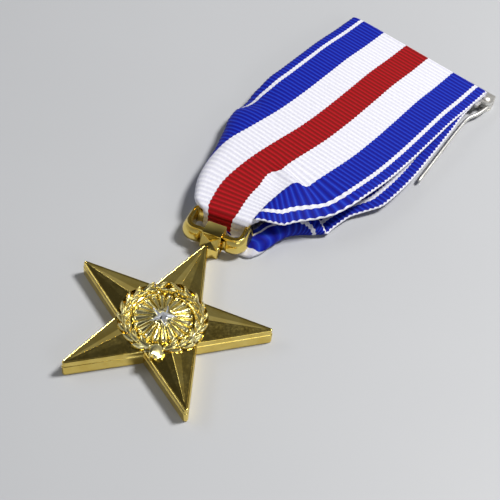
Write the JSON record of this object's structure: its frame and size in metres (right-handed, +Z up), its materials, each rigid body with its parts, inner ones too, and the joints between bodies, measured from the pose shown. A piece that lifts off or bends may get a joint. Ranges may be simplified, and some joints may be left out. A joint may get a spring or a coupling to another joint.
{
  "type": "military service medal",
  "caption": "Gilt star medal with laurel wreath and small silver star, hung by a rectangular loop from a folded striped ribbon with a pin brooch.",
  "frame": {"origin": "middle of the footprint, on the surface that the medal lies on", "axes": "+Z up from the star's back, +Y along the ribbon towards its top fold and brooch, +X across the ribbon to its right seen from the front"},
  "size_m": [0.0454, 0.1082, 0.005],
  "materials": {
    "gilt": "bright gold plate, polished on the ridges and wreath",
    "silver": "polished silver plate",
    "nickel": "drawn nickel silver",
    "ribbon_cloth": "ribbed grosgrain in blue, white and red stripes"
  },
  "bodies": {
    "ribbon_and_brooch": {"ribbon": "ribbon_cloth", "brooch_plate": "nickel", "hinge_rivet": "nickel", "pin_catch": "nickel"},
    "loop": {"suspension_loop": "gilt"},
    "star": {"star_body": "gilt", "ray_burst": "gilt", "wreath_branch_left": "gilt", "wreath_branch_right": "gilt", "wreath_tie": "gilt", "centre_star": "silver", "suspension_lug": "gilt"},
    "needle": {"pin_needle": "nickel"}
  },
  "joints": [
    {"name": "loop_swing", "type": "hinge", "parent": "ribbon_and_brooch", "child": "loop", "pos_m": [-0.00087, -0.01338, 0.0025], "axis": [0.9361, 0.3518, 0], "range_deg": [-60, 60]},
    {"name": "star_swing", "type": "hinge", "parent": "loop", "child": "star", "pos_m": [0.00096, -0.01783, 0.0025], "axis": [0.9361, 0.3518, 0], "range_deg": [-25, 25]},
    {"name": "pin_swing", "type": "hinge", "parent": "ribbon_and_brooch", "child": "needle", "pos_m": [0.01275, 0.05214, 0.00108], "axis": [0, 0, 1], "range_deg": [-88, 20]}
  ]
}
